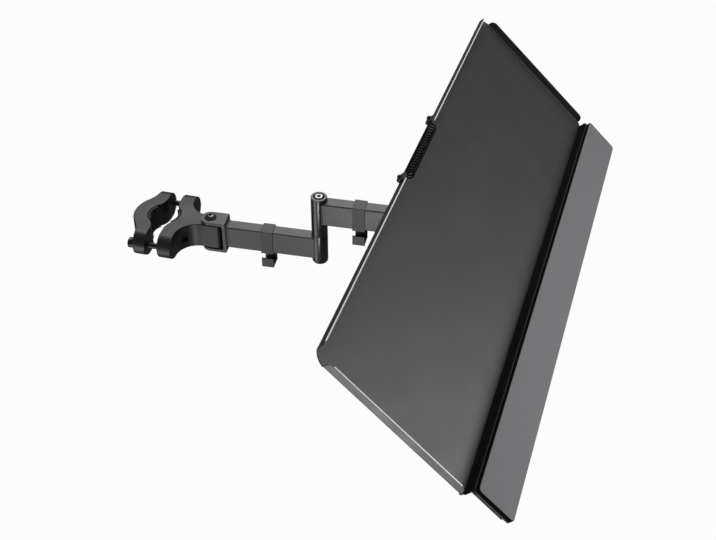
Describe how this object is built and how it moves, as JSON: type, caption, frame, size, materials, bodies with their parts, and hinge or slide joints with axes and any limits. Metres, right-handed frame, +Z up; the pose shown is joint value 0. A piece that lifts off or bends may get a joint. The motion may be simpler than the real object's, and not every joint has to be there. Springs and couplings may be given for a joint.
{
  "type": "pole-mounted keyboard tray",
  "caption": "Shallow folded tray with raised palm rest on a swivel and tilt head, carried by folding arms from a clamp for a round pole",
  "frame": {"origin": "on the axis of the round seat for the pole, at the middle of its height", "axes": "+Z runs up the pole, +X runs along the two straightened arms from the pole towards the tray, +Y is to the left of that"},
  "size_m": [0.5889, 0.7213, 0.1981],
  "materials": {
    "casting_paint": "satin black powder coat on a casting",
    "tube_paint": "satin black powder coat on steel",
    "sheet_paint": "satin black powder coat on folded sheet",
    "liner_rubber": "matte black rubber",
    "black_steel": "black oxide steel, oiled",
    "bright_steel": "bright zinc plate",
    "nylon": "matte black nylon",
    "clip_plastic": "fine grained black plastic",
    "anchor_plastic": "matte black plastic",
    "rest_board": "matte black board",
    "rest_pad": "matte closed cell foam",
    "spring_steel": "black coated spring wire"
  },
  "bodies": {
    "clamp_base": {"inner_jaw": "casting_paint", "inner_jaw_liner": "liner_rubber", "clamp_nuts": "black_steel", "pivot_bush": "nylon"},
    "loose_jaw": {"outer_jaw": "casting_paint", "outer_jaw_liner": "liner_rubber"},
    "near_bolt": {"near_clamp_bolt": "black_steel"},
    "far_bolt": {"far_clamp_bolt": "black_steel"},
    "arm_1": {"clevis_bracket": "tube_paint", "pivot_bolt": "black_steel", "pivot_washers": "nylon", "arm_1_tube": "tube_paint", "cable_clip_1": "clip_plastic", "lower_barrel": "tube_paint", "barrel_pin": "bright_steel", "barrel_pin_washer": "bright_steel"},
    "arm_2": {"upper_barrel": "tube_paint", "barrel_seam_bush": "nylon", "barrel_top_bush": "nylon", "arm_2_tube": "tube_paint", "cable_clip_2": "clip_plastic", "swivel_barrel": "tube_paint", "swivel_top_bush": "nylon", "swivel_bottom_bush": "nylon"},
    "tilt_head": {"swivel_post": "black_steel", "swivel_washer": "black_steel", "swivel_screw": "black_steel", "tilt_yoke": "tube_paint", "tilt_bolt": "black_steel", "tilt_nut": "black_steel", "friction_washers": "nylon"},
    "tray": {"tray_bracket": "tube_paint", "bracket_plate": "tube_paint", "tray_panel": "sheet_paint", "back_flanges": "sheet_paint", "end_flanges": "sheet_paint", "front_wall": "sheet_paint", "rest_ledge": "sheet_paint", "tray_studs": "black_steel", "tray_nuts": "black_steel", "palm_rest_board": "rest_board", "palm_rest_pad": "rest_pad", "palm_rest_screws": "black_steel", "keeper_spring": "spring_steel", "near_keeper_anchor": "anchor_plastic", "far_keeper_anchor": "anchor_plastic", "keeper_screws": "black_steel"}
  },
  "joints": [
    {"name": "jaw_slide", "type": "slide", "parent": "clamp_base", "child": "loose_jaw", "axis": [0.999, -0.0436, 0], "range_m": [-0.005, 0.008]},
    {"name": "near_bolt_turn", "type": "hinge", "parent": "loose_jaw", "child": "near_bolt", "pos_m": [-0.02429, -0.04498, 0], "axis": [0.999, -0.0436, 0], "continuous": true},
    {"name": "far_bolt_turn", "type": "hinge", "parent": "loose_jaw", "child": "far_bolt", "pos_m": [-0.02027, 0.04693, 0], "axis": [0.999, -0.0436, 0], "continuous": true},
    {"name": "first_arm_swing", "type": "hinge", "parent": "clamp_base", "child": "arm_1", "pos_m": [0.06194, -0.0027, 0], "axis": [0, 0, 1], "range_deg": [-90, 90]},
    {"name": "second_arm_swing", "type": "hinge", "parent": "arm_1", "child": "arm_2", "pos_m": [0.20194, -0.0027, 0], "axis": [0, 0, 1], "range_deg": [-150, 150]},
    {"name": "tray_swivel", "type": "hinge", "parent": "arm_2", "child": "tilt_head", "pos_m": [0.34194, -0.0027, 0], "axis": [0, 0, 1], "range_deg": [-90, 90]},
    {"name": "tray_tilt", "type": "hinge", "parent": "tilt_head", "child": "tray", "pos_m": [0.34194, -0.0027, 0.093], "axis": [0.0958, 0.9954, 0], "range_deg": [-58.5, 6.5]}
  ],
  "couplings": [
    {"joint": "near_bolt_turn", "follows": "jaw_slide", "rad_per_m": 5026.5},
    {"joint": "far_bolt_turn", "follows": "jaw_slide", "rad_per_m": 5026.5}
  ]
}
